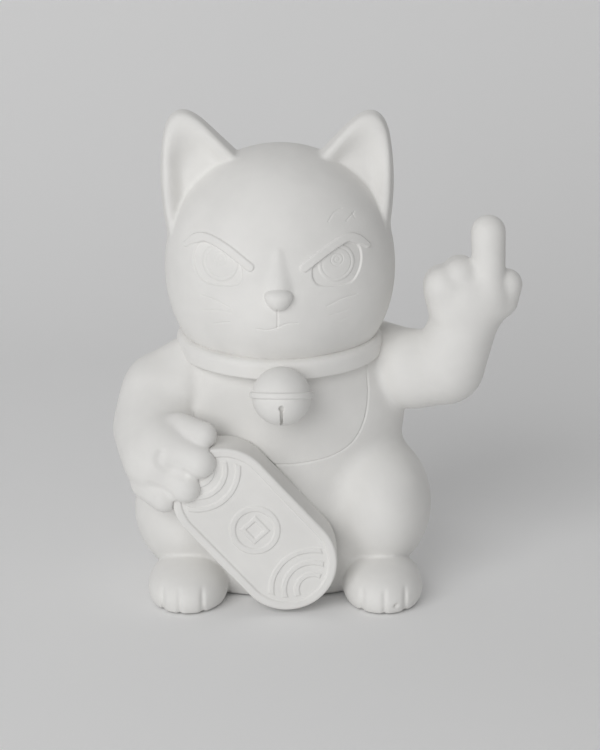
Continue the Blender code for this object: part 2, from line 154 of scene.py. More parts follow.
# ------------------------------------------------------------------------------- head
HEAD = (0.5, 0.0, 173.5)
LEAN = math.radians(-1.1)              # the ears lean a little to the cat's right
SKULL = (
    # shape, centre, radii, fillet
    (ball, HEAD, (58.2, 52.2, 56.8), 0.0),                         # crown
    (ball, (0.5, -1.0, 158.0), (56.6, 50.8, 52.0), 8.0),           # cheeks
    (ball, (0.0, -34.0, 148.0), (24.0, 16.5, 17.0), 14.0),         # muzzle
)
NOSE = (
    (ball, (0.3, -54.4, 163.2), (7.0, 5.4, 3.9), 0.0),
    (ball, (0.3, -54.2, 160.8), (5.4, 5.0, 4.8), 3.0),
)
NOSE_MIDDLE = (0.3, 162.2)
NOSE_REACH = (7.0, 5.6)
NOSE_BRIDGE = ((0.1, -50.2, 184.0), (0.3, -48.9, 167.0), 1.8, 7.4)

# An ear's outline is a large circle outside and a straight edge inside. The two ears
# differ by a millimetre, so some sizes are given for each side.
EAR_CIRCLE = (-83.6, 42.0)
EAR_CIRCLE_RADIUS = {1: 141.7, -1: 142.9}
EAR_EDGE_POINT = (20.2, 51.7)
EAR_EDGE_NORMAL = (-0.722, 0.692)
EAR_EDGE_SHIFT = {1: 0.0, -1: 1.1}
EAR_TIP_ROUNDING = 21.0
EAR_ROOT = 5.0
EAR_MIDDLE = 30.0
EAR_FRONT = -13.5
EAR_BACK = 7.0
EAR_DISH = 5.2
EAR_RIM = 1.6

COLLAR_LEVEL = 129.0
COLLAR_TILT = math.radians(5.7)        # the collar hangs lower at the throat
HEAD_CUT = 4.1                         # the head ends this far over the collar's middle
NECK_CUT = 4.2                         # and the neck reaches a little higher
NECK_RADII = (53.0, 50.0)


def ear(p, side):
    """A leaf-shaped ear with a dished front; side is +1 on the cat's left (+X)."""
    x0, z0 = p[..., 0] - HEAD[0], p[..., 2] - HEAD[2]
    x = (x0 * math.cos(LEAN) - z0 * math.sin(LEAN)) * side
    z = x0 * math.sin(LEAN) + z0 * math.cos(LEAN)
    y = p[..., 1]
    outer = np.hypot(x - EAR_CIRCLE[0], z - EAR_CIRCLE[1]) - EAR_CIRCLE_RADIUS[side]
    across, up = EAR_EDGE_NORMAL
    inner = (x - EAR_EDGE_POINT[0]) * across + (z - EAR_EDGE_POINT[1]) * up
    inner = inner - EAR_EDGE_SHIFT[side]
    outline = np.maximum(meet(outer, inner, EAR_TIP_ROUNDING), EAR_ROOT - z)
    front = EAR_FRONT + 0.06 * (z - EAR_MIDDLE)
    back = EAR_BACK - 0.10 * (z - EAR_MIDDLE)
    dish = EAR_DISH * ramp(-outline - EAR_RIM, 1.8, 10.5)
    shell = meet(outline - 0.18 * (y - front) + EAR_RIM, front + dish - y, 2.4)
    return meet(shell, y - back, 9.0)


def collar_height(p):
    """Height over the collar's tilted middle plane."""
    return (p[..., 2] - COLLAR_LEVEL) * math.cos(COLLAR_TILT) - p[..., 1] * math.sin(COLLAR_TILT)


def head_field(p):
    d = masses(p, SKULL)
    d = join(d, limb(p, *NOSE_BRIDGE), 2.0)
    for side in (1, -1):
        d = join(d, ear(p, side), 1.6)
    d = join(d, masses(p, NOSE), 0.5)
    return meet(d, HEAD_CUT - collar_height(p), 0.4)


BROWS = (
    smooth_path(((-46.2, 184.4), (-41.0, 188.2), (-35.0, 189.4), (-25.6, 185.6), (-13.8, 177.2))),
    smooth_path(((12.8, 177.0), (24.0, 184.8), (33.4, 189.6), (39.0, 188.4), (44.4, 184.6))),
)
BROW_HALF_WIDTH = 2.05
BROW_HEIGHT = 0.95
EYES = ((-28.9, 178.2), (28.9, 178.2))
EYE_DEPTH = 0.75
IRIS_RADIUS = 8.9
EYE_OUTLINES = (
    smooth_path(((-41.6, 182.6), (-36.4, 189.0), (-27.0, 186.0), (-19.6, 180.0), (-17.4, 173.4),
                 (-20.0, 168.2), (-28.6, 167.0), (-37.2, 168.2), (-41.6, 174.6)), 6, True),
    smooth_path(((40.6, 183.6), (35.0, 189.0), (26.4, 185.4), (18.4, 179.0), (16.8, 173.4),
                 (19.8, 168.2), (29.0, 167.0), (36.8, 168.4), (40.8, 175.4)), 6, True),
)
GROOVES = (
    # points, half width, depth
    (smooth_path(((-0.3, 157.2), (-0.3, 152.0), (-0.4, 147.6))), 0.70, 0.50),
    (smooth_path(((-10.6, 146.6), (-6.5, 146.2), (-2.4, 146.8), (0.0, 147.8), (4.5, 149.6),
                  (9.4, 149.6))), 0.70, 0.34),
    (smooth_path(((-38.5, 160.8), (-32.0, 159.6), (-24.0, 156.4))), 0.70, 0.26),
    (smooth_path(((-37.5, 153.0), (-30.5, 154.2), (-23.0, 154.0))), 0.65, 0.15),
    (smooth_path(((-32.0, 146.6), (-28.0, 148.0), (-24.0, 149.0))), 0.70, 0.20),
    (smooth_path(((24.0, 157.2), (31.0, 160.0), (39.0, 161.4))), 0.70, 0.26),
    (smooth_path(((25.5, 152.4), (34.5, 154.0))), 0.65, 0.15),
    (smooth_path(((28.0, 148.4), (33.5, 149.6))), 0.65, 0.13),
    (smooth_path(((24.6, 198.2), (27.6, 202.0), (31.2, 203.4))), 0.60, 0.24),
    (smooth_path(((33.6, 197.6), (37.6, 201.0))), 0.60, 0.24),
    (smooth_path(((36.6, 200.8), (37.8, 198.4))), 0.55, 0.18),
)


def inside_outline(x, z, points):
    """Even-odd test against a closed path."""
    inside = np.zeros(x.shape, bool)
    for (ax, az), (bx, bz) in zip(points, points[1:] + points[:1]):
        crosses = (az > z) != (bz > z)
        at = ax + (z - az) * (bx - ax) / (bz - az + 1e-12)
        inside ^= crosses & (x < at)
    return inside


def groove(distance, half_width, depth):
    return -depth * (1 - ramp(distance, 0.0, half_width))


def face_relief(p):
    """Height of the face's fine relief at points on the front of the head."""
    x, z = p[:, 0], p[:, 2]
    height = np.zeros(len(p))
    brow = np.zeros(len(p))
    for path in BROWS:
        d, share = path_distance(x, z, path)
        outer_share = share if path is BROWS[1] else 1 - share
        half = BROW_HALF_WIDTH - 0.9 * ramp(outer_share, 0.72, 1.0)
        brow = np.maximum(brow, 1 - ramp(d, half - 0.35, half + 0.35))
    for (eye_x, eye_z), outline in zip(EYES, EYE_OUTLINES):
        d, _ = path_distance(x, z, outline)
        signed = np.where(inside_outline(x, z, outline[:-1]), -d, d)
        socket = 1 - ramp(signed, -0.45, 0.35)
        r = np.hypot(x - eye_x, z - eye_z)
        iris = 1 - ramp(r, IRIS_RADIUS - 0.4, IRIS_RADIUS + 0.4)
        lens = 0.42 * iris - 0.16 * (1 - ramp(np.abs(r - 7.3), 0.0, 0.6)) * iris
        pupil = np.hypot(x - eye_x - 0.2, z - eye_z - 1.8)
        for radius, depth, half_width in ((3.0, 0.17, 0.55), (1.3, 0.14, 0.50)):
            lens = lens + groove(np.abs(pupil - radius), half_width, depth)
        height = height + socket * (lens - EYE_DEPTH)
        height = height + groove(np.abs(signed + 0.1), 0.5, 0.22)
    height = height * (1 - brow) * 1.15 + BROW_HEIGHT * brow
    for path, half_width, depth in GROOVES:
        d, _ = path_distance(x, z, path)
        height = height + groove(d, half_width, depth)
    return height * (p[:, 1] < -18)


def near_face(p, margin):
    """Which points lie within a margin of any fine relief on the face."""
    x, z = p[:, 0], p[:, 2]
    best = np.full(len(p), 1e9)
    for path in BROWS:
        best = np.minimum(best, path_distance(x, z, path[::4])[0] - 2.0)
    for centre in EYES:
        best = np.minimum(best, np.hypot(x - centre[0], z - centre[1]) - 12.5)
    for path, _, _ in GROOVES:
        best = np.minimum(best, path_distance(x, z, path[::4] + path[-1:])[0])
    nose = np.hypot((x - NOSE_MIDDLE[0]) / NOSE_REACH[0], (z - NOSE_MIDDLE[1]) / NOSE_REACH[1])
    edge = np.abs(nose - 1) * 6
    best = np.minimum(best, edge)
    return (best < margin) & (p[:, 1] < -20)


# ------------------------------------------------------------------------------- body
FEET = (-46.7, 53.2)
TOE_LINES = ((-58.6, -50.0, -38.6), (42.3, 53.2, 63.6))
TOE_LINE_WIDTH = 1.15
TOE_LINE_DEPTH = 1.05
CHIP = ((59.0, -64.3, 6.0), (1.4, 1.4, 1.0))     # a small chip in one toe
TORSO = (
    # shape, its sizes, fillet
    (ball, (0.0, 5.0, 48.0), (62.0, 44.5, 58.0), 0.0),                       # belly
    (ball, (1.2, 2.0, 91.0), (64.0, 42.5, 54.0), 8.0),                       # chest
    (ball, (0.0, 1.0, 117.0), (47.0, 43.0, 30.0), 10.0),                     # shoulders
    (ball, (1.5, 5.0, 14.5), (63.5, 48.0, 30.0), 10.0),                      # seat
    (limb, (-2.0, 46.0, 15.0), (20.0, 50.0, 14.0), 8.5, 9.5, 6.0),           # tail
    (limb, (20.0, 50.0, 14.0), (42.0, 40.0, 18.0), 9.5, 9.0, 4.0),
    (ball, (52.0, -10.0, 43.6), (27.2, 37.0, 34.4), 9.0),                    # left thigh
    (ball, (-47.5, -8.0, 40.0), (28.2, 36.0, 32.0), 14.0),                   # right thigh
)
RAISED_ARM = (
    (limb, (50.0, 14.0, 116.6), (69.0, -6.0, 113.9), 18.2, 19.6, 0.0),       # shoulder
    (limb, (69.0, -6.0, 113.9), (84.5, -11.0, 116.8), 19.6, 19.8, 4.0),      # upper arm
    (limb, (86.4, -11.0, 117.6), (94.2, -15.0, 140.0), 19.3, 16.9, 2.4),     # forearm
    (ball, (97.2, -16.5, 154.5), (23.0, 17.0, 17.0), 6.0),                   # palm
    (limb, (82.8, -22.0, 161.5), (82.8, -14.0, 161.5), 9.4, 9.4, 4.0),       # curled fingers
    (limb, (83.6, -20.5, 160.0), (87.5, -20.5, 147.0), 9.3, 9.0, 3.0),
    (limb, (91.6, -21.0, 166.4), (91.6, -13.0, 166.4), 9.0, 9.0, 2.0),
    (limb, (105.8, -23.6, 159.0), (105.4, -17.0, 188.0), 8.2, 8.7, 3.2),     # middle finger
    (limb, (115.0, -19.0, 161.6), (113.4, -18.0, 153.0), 8.0, 7.8, 2.0),     # outer finger
    (limb, (82.8, -10.0, 160.0), (84.5, 1.0, 152.0), 8.6, 7.6, 2.0),         # backs of fingers
    (limb, (92.2, -10.0, 164.0), (94.0, 2.0, 154.0), 8.6, 7.6, 2.0),
    (limb, (114.0, -10.0, 159.0), (111.0, 1.0, 151.0), 8.6, 7.6, 2.0),
    (limb, (88.0, 2.0, 143.0), (103.0, 5.5, 148.0), 7.5, 6.6, 2.0),          # thumb behind
)
HOLDING_ARM = (
    (limb, (-46.0, -5.0, 113.5), (-61.5, -9.0, 105.0), 17.6, 17.5, 0.0),     # shoulder
    (limb, (-45.0, -9.5, 114.0), (-50.5, -14.8, 107.0), 16.0, 15.4, 3.0),
    (limb, (-61.5, -9.0, 105.0), (-64.5, -15.0, 86.0), 17.5, 18.6, 3.0),     # upper arm
    (limb, (-64.5, -17.0, 84.0), (-60.5, -41.0, 77.5), 18.6, 18.4, 10.0),    # forearm
    (limb, (-62.5, -14.0, 99.0), (-62.5, -33.0, 85.5), 17.6, 17.6, 8.0),
    (ball, (-57.0, -48.0, 78.5), (17.3, 15.5, 19.0), 7.0),                   # paw
    (limb, (-55.0, -51.0, 86.0), (-39.0, -60.5, 80.6), 8.8, 8.2, 3.4),       # fingers
    (limb, (-60.0, -52.0, 72.5), (-46.4, -60.0, 67.2), 8.6, 7.8, 2.4),
    (limb, (-57.0, -51.0, 77.0), (-48.6, -57.8, 73.8), 8.0, 7.6, 2.4),
    (limb, (-66.0, -46.0, 65.0), (-57.0, -57.0, 60.8), 8.6, 7.4, 2.4),
    (limb, (-50.0, -45.0, 94.0), (-37.2, -54.5, 92.6), 7.4, 6.6, 2.4),       # thumb
)
PAW_FOLDS = (
    # points, half width, depth
    (smooth_path(((-58.2, 85.0), (-59.2, 82.2), (-57.2, 79.0), (-51.6, 76.6), (-47.0, 75.4)), 3),
     3.8, 1.2),
    (smooth_path(((-63.6, 68.8), (-59.6, 67.4), (-54.8, 65.2)), 3), 3.2, 0.5),
)


def foot(p, middle, lines):
    d = join(ball(p, (middle, -38.6, 8.0), (20.5, 27.2, 14.9)),
             ball(p, (middle, -33.0, 10.5), (17.4, 20.0, 12.8)), 4.0)
    if middle > 0:
        d = carve(d, ball(p, *CHIP), 0.3)
    reach = (1 - ramp(p[..., 2], 10.0, 16.5)) * ramp(-p[..., 1], 44.0, 54.0)
    for line in lines:
        cut = np.exp(-((p[..., 0] - line) / TOE_LINE_WIDTH) ** 2)
        d = d + TOE_LINE_DEPTH * cut * reach
    return d


def holding_arm(p):
    d = masses(p, HOLDING_ARM)
    for path, half_width, depth in PAW_FOLDS:
        fold, _ = path_distance(p[..., 0], p[..., 2], path)
        d = d - groove(fold, half_width, depth) * ramp(-p[..., 1], 46.0, 54.0)
    return d


# ------------------------------------------------------------------------------ plaque
PLAQUE_UPPER = (-27.6, 62.3)
PLAQUE_LOWER = (3.9, 28.0)
PLAQUE_FRONT, PLAQUE_BACK = -62.0, -38.0
PLAQUE_RADIUS = 25.5
RIM_WIDTH = 4.3
RIM_HEIGHT = 0.9
RELIEF_HEIGHT = 0.7
RELIEF_REACH = 6.8                     # the ornament stays this far inside the outline
RING_RADIUS, RING_HALF_WIDTH = 11.2, 1.5
SQUARE_HALF, SQUARE_HALF_WIDTH = 4.2, 1.1
ARC_RADII, ARC_HALF_WIDTH = (8.0, 14.4, 20.8), 1.3
ARC_CENTRE = 19.5                      # beyond the middles of the round ends
PLAQUE_SPAN = (PLAQUE_LOWER[0] - PLAQUE_UPPER[0], PLAQUE_LOWER[1] - PLAQUE_UPPER[1])
PLAQUE_HALF = math.hypot(*PLAQUE_SPAN) / 2
PLAQUE_TURN = math.atan2(PLAQUE_SPAN[1], PLAQUE_SPAN[0])
PLAQUE_MIDDLE = (PLAQUE_UPPER[0] + PLAQUE_SPAN[0] / 2, PLAQUE_UPPER[1] + PLAQUE_SPAN[1] / 2)


def turned(p, turn, middle):
    """Points turned about the front-to-back axis, then moved to a middle (x, z)."""
    c, s = math.cos(turn), math.sin(turn)
    x, z = p[..., 0], p[..., 2]
    return np.stack([x * c - z * s + middle[0], p[..., 1], x * s + z * c + middle[1]], -1)


def to_plaque(p):
    """Figure axes to the tablet's own: x along it, z across it."""
    q = p - np.array((PLAQUE_MIDDLE[0], 0.0, PLAQUE_MIDDLE[1]), np.float32)
    return turned(q, -PLAQUE_TURN, (0.0, 0.0))


def from_plaque(p):
    return turned(p, PLAQUE_TURN, PLAQUE_MIDDLE)


def plaque_outline(q):
    along = np.maximum(np.abs(q[..., 0]) - PLAQUE_HALF, 0)
    return np.hypot(along, q[..., 2]) - PLAQUE_RADIUS


def ornament(q):
    """Generic relief: a ring round a square, with nested arcs at both ends."""
    u, v = q[..., 0], q[..., 2]
    d = np.abs(np.hypot(u, v) - RING_RADIUS) - RING_HALF_WIDTH
    square = np.maximum(np.abs(u), np.abs(v))
    d = np.minimum(d, np.abs(square - SQUARE_HALF) - SQUARE_HALF_WIDTH)
    r = np.hypot(np.abs(u) - PLAQUE_HALF - ARC_CENTRE, v)
    for radius in ARC_RADII:
        d = np.minimum(d, np.abs(r - radius) - ARC_HALF_WIDTH)
    return np.maximum(d, RELIEF_REACH + plaque_outline(q))


def rim_step(q):
    return RIM_HEIGHT * ramp(-plaque_outline(q), RIM_WIDTH - 0.5, RIM_WIDTH + 0.5)


def plaque_field(q):
    """The tablet in its own axes, without its relief."""
    d = meet(plaque_outline(q), PLAQUE_FRONT + rim_step(q) - q[..., 1], 1.8)
    return meet(d, q[..., 1] - PLAQUE_BACK, 0.8)


def plaque_relief(q):
    raised = RELIEF_HEIGHT * (1 - ramp(ornament(q), -0.45, 0.35))
    return raised * (q[:, 1] < PLAQUE_FRONT + 3.0)


def near_plaque_edges(q, margin):
    face = q[:, 1] < PLAQUE_FRONT + 1.6 + margin
    rim = np.abs(plaque_outline(q) + 2.2) - 2.2
    return face & (np.minimum(np.abs(ornament(q)), rim) < margin)


def plaque_room(p):
    """The tablet's outer shape, a little larger, where it is let into belly and paw."""
    q = to_plaque(p)
    d = meet(plaque_outline(q) - 0.1, PLAQUE_FRONT + rim_step(q) - 0.1 - q[..., 1], 1.2)
    return meet(d, q[..., 1] - PLAQUE_BACK - 0.15)


# ------------------------------------------------------------------- bell, whole body
BELL = (1.6, -58.0, 113.8)
BELL_TILT = math.radians(13.0)
BELL_RADIUS = 14.6
BELL_HOLLOW = 12.4
BAND_RADIUS, BAND_LEVEL, BAND_HALF_HEIGHT = 15.9, 0.6, 1.5
SLOT_X, SLOT_HALF_WIDTH = 0.1, 0.7
SLOT_LEVEL, SLOT_HALF_HEIGHT = -10.4, 4.4
KEYHOLE_LEVEL, KEYHOLE_RADIUS = -5.6, 1.4


def bell_field(q):
    """The bell in its own axes: ball, flat band and keyhole slot."""
    x, y, z = q[..., 0], q[..., 1], q[..., 2]
    d = length(q) - BELL_RADIUS
    band = meet(np.hypot(x, y) - BAND_RADIUS, np.abs(z - BAND_LEVEL) - BAND_HALF_HEIGHT, 1.0)
    d = join(d, band, 0.5)
    slit = np.maximum(np.abs(x - SLOT_X) - SLOT_HALF_WIDTH,
                      np.abs(z - SLOT_LEVEL) - SLOT_HALF_HEIGHT)
    keyhole = np.minimum(slit, np.hypot(x - SLOT_X, z - KEYHOLE_LEVEL) - KEYHOLE_RADIUS)
    keyhole = np.where(y < 0, keyhole, 9.0)
    return carve(d, np.maximum(keyhole, BELL_HOLLOW - length(q)), 0.4)


def near_bell_details(q, margin):
    slot = np.abs(q[:, 0] - SLOT_X) < 1.6 + margin
    slot = slot & (q[:, 1] < margin) & (q[:, 2] < margin - 3.8)
    return slot | (np.abs(q[:, 2] - BAND_LEVEL) < 1.8 + margin)


def from_bell(q):
    c, s = math.cos(BELL_TILT), math.sin(BELL_TILT)
    y, z = q[..., 1], q[..., 2]
    return np.stack([q[..., 0], y * c + z * s, z * c - y * s], -1) + np.array(BELL)


CHAMBER = ((0.0, 6.0, 64.0), (50.0, 35.0, 57.0))
COIN_SLOT_HALF_WIDTH = 19.0
COIN_SLOT_HALF_HEIGHT = 2.5
COIN_SLOT_LEVEL = 98.0
COIN_SLOT_START = 20.0                 # inside the chamber, from where it runs out of the back
PLATE_SEAT_RADIUS, PLATE_SEAT_TOP = 34.0, 4.9
PLATE_HOLE_RADIUS, PLATE_HOLE_TOP = 30.0, 18.0
SOLE = 0.6                             # underside of the casting, above the pads' soles


def figure_outside(p):
    """Torso, feet and both arms."""
    d = masses(p, TORSO)
    for middle, lines in zip(FEET, TOE_LINES):
        d = join(d, foot(p, middle, lines), 1.4)
    d = join(d, masses(p, RAISED_ARM), 5.0)
    return join(d, holding_arm(p), 3.5)


def trimmed(p, d):
    """Cuts room for the tablet, the flat under the head, and the flat sole."""
    d = carve(d, plaque_room(p), 0.3)
    around = np.hypot(p[..., 0] / NECK_RADII[0], p[..., 1] / NECK_RADII[1])
    over_neck = np.maximum(NECK_CUT - collar_height(p), (around - 1) * NECK_RADII[1])
    d = carve(d, over_neck, 0.3)
    return meet(d, SOLE - p[..., 2], 1.2)


def body_field(p):
    """The whole casting with its chamber, coin slot and the seat of the base plate."""
    d = trimmed(p, figure_outside(p))
    d = carve(d, ball(p, *CHAMBER))
    slot = np.maximum(np.abs(p[..., 0]) - COIN_SLOT_HALF_WIDTH,
                      np.abs(p[..., 2] - COIN_SLOT_LEVEL) - COIN_SLOT_HALF_HEIGHT)
    d = carve(d, np.maximum(slot, COIN_SLOT_START - p[..., 1]), 0.8)
    around = np.hypot(p[..., 0], p[..., 1])
    seat = np.maximum(around - PLATE_SEAT_RADIUS, p[..., 2] - PLATE_SEAT_TOP)
    hole = np.maximum(around - PLATE_HOLE_RADIUS, p[..., 2] - PLATE_HOLE_TOP)
    return carve(d, np.minimum(seat, hole), 0.3)


BIB = smooth_path(((-43.4, 121.0), (-44.4, 106.0), (-42.2, 92.5), (-36.0, 81.8), (-25.0, 75.6),
                   (-10.5, 72.8), (0.5, 72.4), (11.5, 72.8), (26.0, 75.6), (37.0, 81.8),
                   (43.2, 92.5), (45.4, 106.0), (44.4, 121.0)))


def bib_relief(p):
    """The bib's engraved line, on the torso's own surface only."""
    d, _ = path_distance(p[:, 0], p[:, 2], BIB)
    on_torso = np.abs(masses(p, TORSO)) < 1.0
    return groove(d, 0.75, 0.55) * (on_torso & (p[:, 1] < -10))


def near_bib(p, margin):
    d, _ = path_distance(p[:, 0], p[:, 2], BIB[::4] + BIB[-1:])
    return (d < margin) & (p[:, 1] < margin - 12) & (p[:, 2] < 119 + margin)


def near_fine_body(p, margin):
    toes = (p[:, 1] < -42) & (p[:, 2] < 20) & (p[:, 2] > 1)
    paw = (p[:, 1] < -42) & (p[:, 0] < -30) & (p[:, 2] > 52) & (p[:, 2] < 104)
    return toes | paw | near_bib(p, margin)


# ------------------------------------------------------------------------- level sets
def sample(field, points, block=300000):
    out = np.empty(len(points), np.float32)
    for start in range(0, len(points), block):
        out[start:start + block] = field(points[start:start + block].astype(np.float32))
    return out


def surface(field, low, high, step, coarse=6):
    """Surface nets over a box: vertices in millimetres and outward quads."""
    low = np.array(low, float)
    count = np.ceil((np.array(high, float) - low) / step).astype(int)
    cells = ((count + coarse - 1) // coarse) * coarse
    nodes = cells + 1
    rough = cells // coarse + 1
    axes = [low[i] + np.arange(rough[i]) * step * coarse for i in range(3)]
    grid = np.stack(np.meshgrid(*axes, indexing="ij"), -1).reshape(-1, 3)
    rough_value = sample(field, grid).reshape(rough)
    near = np.abs(rough_value) < step * coarse * 2.0
    block = np.zeros(rough - 1, bool)
    for dx, dy, dz in np.ndindex(2, 2, 2):
        block |= near[dx:rough[0] - 1 + dx, dy:rough[1] - 1 + dy, dz:rough[2] - 1 + dz]
    fine = block.repeat(coarse, 0).repeat(coarse, 1).repeat(coarse, 2)
    wanted = np.zeros(nodes, bool)
    for dx, dy, dz in np.ndindex(2, 2, 2):
        wanted[dx:cells[0] + dx, dy:cells[1] + dy, dz:cells[2] + dz] |= fine
    sign = np.sign(rough_value[:-1, :-1, :-1]).repeat(coarse, 0).repeat(coarse, 1)
    value = np.full(nodes, 50.0, np.float32)
    value[:-1, :-1, :-1] = sign.repeat(coarse, 2) * 50.0
    value[wanted] = sample(field, low + np.argwhere(wanted) * step)
    total = np.zeros((int(np.prod(cells)), 3))
    hits = np.zeros(len(total))
    quads = []
    for axis in range(3):
        first = [slice(None)] * 3
        second = [slice(None)] * 3
        first[axis], second[axis] = slice(0, -1), slice(1, None)
        v0, v1 = value[tuple(first)], value[tuple(second)]
        edge = np.argwhere((v0 < 0) != (v1 < 0))
        b, c = (axis + 1) % 3, (axis + 2) % 3
        keep = (edge[:, b] > 0) & (edge[:, b] < cells[b]) & (edge[:, c] > 0) & (edge[:, c] < cells[c])
        edge = edge[keep]
        f0, f1 = v0[tuple(edge.T)], v1[tuple(edge.T)]
        spot = edge.astype(float)
        spot[:, axis] += f0 / (f0 - f1)
        ring = []
        for db, dc in ((-1, -1), (0, -1), (0, 0), (-1, 0)):
            cell = edge.copy()
            cell[:, b] += db
            cell[:, c] += dc
            index = (cell[:, 0] * cells[1] + cell[:, 1]) * cells[2] + cell[:, 2]
            for k in range(3):
                total[:, k] += np.bincount(index, spot[:, k], len(total))
            hits += np.bincount(index, minlength=len(total))
            ring.append(index)
        ring = np.stack(ring, 1)
        ring[f0 > 0] = ring[f0 > 0][:, ::-1]
        quads.append(ring)
    quads = np.concatenate(quads)
    used = np.unique(quads)
    order = np.zeros(len(total), int)
    order[used] = np.arange(len(used))
    return low + total[used] / hits[used, None] * step, order[quads]


def slope(field, points, reach):
    """The field's gradient, from central differences."""
    out = np.empty((len(points), 3))
    for axis in range(3):
        shift = np.zeros(3)
        shift[axis] = reach
        out[:, axis] = (sample(field, points + shift) - sample(field, points - shift)) / (2 * reach)
    return out


def settle(field, points, rounds, reach=0.15, limit=0.5):
    """Moves points down the field's gradient onto its surface, a short way each round."""
    for _ in range(rounds):
        g = slope(field, points, reach)
        size = np.maximum((g * g).sum(-1), 0.2)
        move = sample(field, points)[:, None] / size[:, None] * g
        far = np.maximum(length(move) / limit, 1.0)
        points = points - move / far[:, None]
    return points


def build(name, points, faces):
    """A smooth-shaded object from points in millimetres."""
    mesh = bpy.data.meshes.new(name)
    mesh.from_pydata(to_world(points).tolist(), [], [list(face) for face in faces])
    mesh.update()
    mesh.shade_smooth()
    piece = bpy.data.objects.new(name, mesh)
    bpy.context.scene.collection.objects.link(piece)
    return piece


def split_quads(points, quads, chosen):
    """Cuts the chosen quads in four; their plain neighbours take the new edge points."""
    marked = quads[chosen]
    edges = np.sort(np.stack([marked, np.roll(marked, -1, 1)], -1).reshape(-1, 2), 1)
    unique, back = np.unique(edges, axis=0, return_inverse=True)
    back = back.reshape(-1, 4)
    mids = len(points) + np.arange(len(unique))
    centres = len(points) + len(unique) + np.arange(len(marked))
    grown = np.concatenate([points, points[unique].mean(1), points[marked].mean(1)])
    m = mids[back]
    small = [np.stack([marked[:, i], m[:, i], centres, m[:, i - 1]], 1) for i in range(4)]
    key = {(int(a), int(b)): int(k) for (a, b), k in zip(unique, mids)}
    touched = np.isin(quads, marked).sum(1) >= 2
    rest = []
    ngons = []
    for quad, is_marked, near in zip(quads.tolist(), chosen.tolist(), touched.tolist()):
        if is_marked:
            continue
        if not near:
            rest.append(quad)
            continue
        ring = []
        for a, b in zip(quad, quad[1:] + quad[:1]):
            ring.append(a)
            mid = key.get((min(a, b), max(a, b)))
            if mid is not None:
                ring.append(mid)
        if len(ring) == 4:
            rest.append(quad)
        else:
            ngons.append(ring)
    return grown, np.concatenate(small + [np.array(rest, int).reshape(-1, 4)]), ngons


def fan(points, rings):
    """Triangles for the few faces that took extra edge points."""
    extra = [points[ring].mean(0) for ring in rings]
    faces = []
    for index, ring in enumerate(rings):
        centre = len(points) + index
        for a, b in zip(ring, ring[1:] + ring[:1]):
            faces.append((a, b, centre))
    if not extra:
        return points, faces
    return np.concatenate([points, np.array(extra)]), faces


def cast(name, field, low, high, step, zones=(), relief=None, place=None):
    """A level-set casting: zones are (test, margin) pairs, each halving the mesh there."""
    points, quads = surface(field, low, high, step)
    points = settle(field, points, 2)
    triangles = []
    for test, margin in zones:
        chosen = test(points[quads].mean(1), margin)
        points, quads, rings = split_quads(points, quads, chosen)
        points, more = fan(points, rings)
        triangles += more
        points = settle(field, points, 1)
    points = settle(field, points, 1)
    if relief:
        normal = slope(field, points, 0.3)
        normal = normal / np.maximum(length(normal), 1e-6)[:, None]
        points = points + normal * relief(points)[:, None]
    if place:
        points = place(points)
    return build(name, points, quads.tolist() + triangles)


# --------------------------------------------------------------- collar, a swept band
COLLAR_HALF_THICKNESS, COLLAR_HALF_HEIGHT = 3.75, 4.75
COLLAR_MIDDLE_X = 0.3
COLLAR_MIDLINE = (49.55, 46.75)        # half axes of the ellipse through the band's middle
COLLAR_CORNERS = (
    # outward or inward, up or down, start of the arc, radius
    (1, 1, 0, 3.4), (-1, 1, 90, 0.8), (-1, -1, 180, 0.8), (1, -1, 270, 1.2),
)


def collar_section(steps=6):
    """The band's outline across: a rectangle with a round corner at each of its four."""
    section = []
    for side, level, start, corner in COLLAR_CORNERS:
        for turn in range(steps + 1):
            angle = math.radians(start + turn * 90.0 / steps)
            section.append((side * (COLLAR_HALF_THICKNESS - corner) + corner * math.cos(angle),
                            level * (COLLAR_HALF_HEIGHT - corner) + corner * math.sin(angle)))
    return section


def collar_band(steps=240):
    """The section swept round the neck's ellipse, on the tilted collar plane."""
    section = collar_section()
    wide, deep = COLLAR_MIDLINE
    tilt_cos, tilt_sin = math.cos(COLLAR_TILT), math.sin(COLLAR_TILT)
    points = []
    for step in range(steps):
        angle = 2 * math.pi * step / steps
        ux, uy = math.cos(angle), math.sin(angle)
        size = math.hypot(ux * deep, uy * wide)
        for out, up in section:
            x = wide * ux + out * ux * deep / size
            y = deep * uy + out * uy * wide / size
            points.append((COLLAR_MIDDLE_X + x, y * tilt_cos - up * tilt_sin,
                           COLLAR_LEVEL + y * tilt_sin + up * tilt_cos))
    ring = len(section)
    faces = []
    for step in range(steps):
        this, following = step * ring, (step + 1) % steps * ring
        for i in range(ring):
            j = (i + 1) % ring
            faces.append((this + i, following + i, following + j, this + j))
    return build("collar_ring", np.array(points), faces)


# --------------------------------------------------------------------------- materials
MOTTLE_SCALE = 45.0
PATCH_SCALE = 120.0
TOOTH_HEIGHT = 0.0004                  # metres


